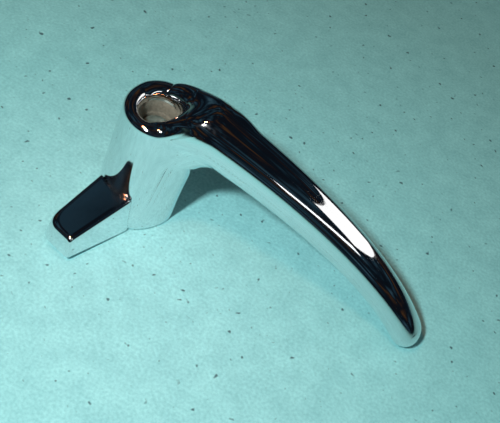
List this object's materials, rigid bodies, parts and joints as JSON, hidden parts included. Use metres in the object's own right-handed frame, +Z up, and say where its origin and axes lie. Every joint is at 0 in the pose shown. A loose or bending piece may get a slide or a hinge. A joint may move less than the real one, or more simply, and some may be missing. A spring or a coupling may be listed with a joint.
{
  "type": "winch lever handle",
  "caption": "Chrome lever handle: tapered hub with a dished recess and lock button, side latch tongue, long curved arm that tapers to a rounded tip.",
  "frame": {"origin": "centre of the spindle's flat bottom face, at the mouth of its fixing thread", "axes": "+Z up the pivot axis, +X along the lever arm at rest, latch tongue towards -Y"},
  "size_m": [0.1076, 0.0453, 0.0477],
  "materials": {
    "chrome_plate": "bright chrome plate over a zinc casting, fine scratches and pits",
    "unplated_metal": "dull unplated cup, brown-grey and slightly rough",
    "dull_button": "dull grey-green worn button face",
    "stainless": "turned stainless steel",
    "spring_steel": "oiled spring steel",
    "bronze": "plain bearing bronze",
    "brass_plug": "plated brass plug, worn at the socket",
    "nylon": "natural nylon",
    "seal_rubber": "black nitrile rubber"
  },
  "bodies": {
    "pivot": {"pivot_spindle": "stainless", "flange_seal": "seal_rubber", "thrust_washer": "nylon", "disc_spring": "spring_steel"},
    "lever": {"lever_casting": "chrome_plate", "latch_tongue": "chrome_plate", "tongue_pins": "stainless", "hub_bush": "bronze", "stop_pin": "stainless", "detent_ball": "stainless", "detent_spring": "spring_steel", "detent_plug": "brass_plug", "recess_cup": "unplated_metal"},
    "button": {"lock_button": "dull_button", "lock_plunger": "stainless", "button_seal": "seal_rubber", "button_spring": "spring_steel"},
    "ball_left": {"lock_ball_left": "stainless"},
    "ball_right": {"lock_ball_right": "stainless"}
  },
  "joints": [
    {"name": "lever_turn", "type": "hinge", "parent": "pivot", "child": "lever", "pos_m": [0, 0, 0.01], "axis": [0, 0, 1], "range_deg": [0, 90]},
    {"name": "button_press", "type": "slide", "parent": "lever", "child": "button", "axis": [0, 0, -1], "range_m": [0, 0.0025], "stiffness_N_per_m": 500, "springref_m": -0.002, "deforming": ["button_spring"]},
    {"name": "ball_left_in", "type": "slide", "parent": "pivot", "child": "ball_left", "axis": [0, -1, 0], "range_m": [0, 0.0005]},
    {"name": "ball_right_in", "type": "slide", "parent": "pivot", "child": "ball_right", "axis": [0, 1, 0], "range_m": [0, 0.0005]}
  ],
  "couplings": [
    {"joint": "ball_left_in", "follows": "button_press", "ratio": 0.2},
    {"joint": "ball_right_in", "follows": "button_press", "ratio": 0.2}
  ]
}
